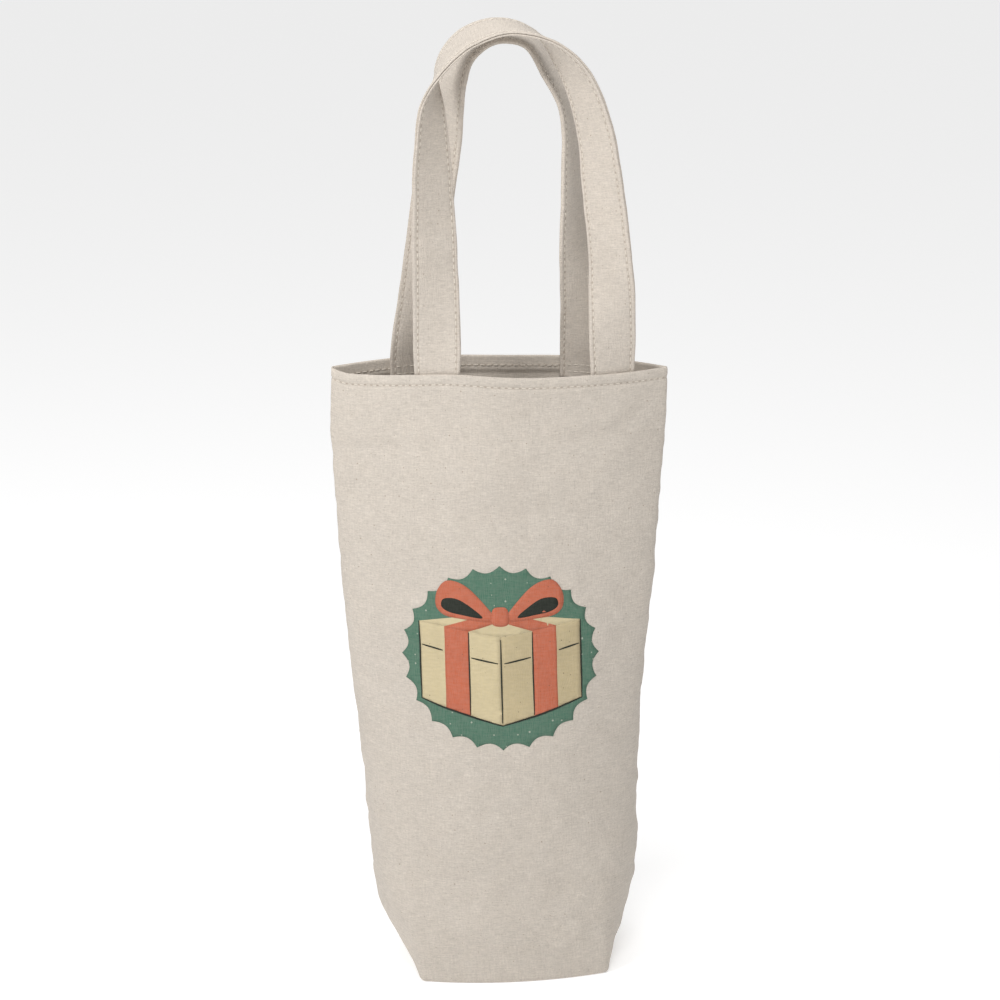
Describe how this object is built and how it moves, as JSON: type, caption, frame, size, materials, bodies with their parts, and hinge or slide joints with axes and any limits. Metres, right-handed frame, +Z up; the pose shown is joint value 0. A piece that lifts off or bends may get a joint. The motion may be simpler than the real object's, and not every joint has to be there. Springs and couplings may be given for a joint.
{
  "type": "wine gift bag",
  "caption": "Upright natural canvas bottle bag with an open lens-shaped mouth, boxed base, sewn-in strap handles that fold outward and a printed gift box badge.",
  "frame": {"origin": "middle of the base, on the surface that the bag stands on", "axes": "+Z up through the mouth, -Y towards the printed front, +X to the right seen from the front"},
  "size_m": [0.1626, 0.079, 0.4731],
  "materials": {
    "bag_canvas": "matte plain-weave unbleached cotton canvas with seed flecks",
    "strap_canvas": "matte plain-weave unbleached cotton canvas, folded and pressed",
    "thread": "slightly glossy natural cotton sewing thread",
    "ink_green": "matte water-based green ink in the canvas",
    "ink_cream": "matte water-based cream ink in the canvas",
    "ink_red": "matte water-based red ink in the canvas",
    "ink_dark": "matte water-based dark ink in the canvas"
  },
  "bodies": {
    "bag": {"badge_print": "ink_green", "bag_cloth": "bag_canvas", "front_left_strap_tail": "strap_canvas", "front_left_tack": "thread", "front_right_strap_tail": "strap_canvas", "front_right_tack": "thread", "gift_box_print": "ink_cream", "hem_stitching": "thread", "left_corner_allowance": "bag_canvas", "left_corner_overlock": "thread", "left_seam_allowance": "bag_canvas", "left_seam_overlock": "thread", "line_print": "ink_dark", "rear_left_strap_tail": "strap_canvas", "rear_left_tack": "thread", "rear_right_strap_tail": "strap_canvas", "rear_right_tack": "thread", "ribbon_print": "ink_red", "right_corner_allowance": "bag_canvas", "right_corner_overlock": "thread", "right_seam_allowance": "bag_canvas", "right_seam_overlock": "thread", "turned_hem": "bag_canvas"},
    "front_handle": {"front_handle": "strap_canvas", "front_handle_stitching": "thread"},
    "rear_handle": {"rear_handle": "strap_canvas", "rear_handle_stitching": "thread"}
  },
  "joints": [
    {"name": "front_handle_swing", "type": "hinge", "parent": "bag", "child": "front_handle", "pos_m": [0.0119, -0.01925, 0.3063], "axis": [0.9966, 0.0826, 0], "range_deg": [0, 165]},
    {"name": "rear_handle_swing", "type": "hinge", "parent": "bag", "child": "rear_handle", "pos_m": [-0.0012, 0.01985, 0.3063], "axis": [-1, -0.0085, 0], "range_deg": [0, 165]}
  ]
}
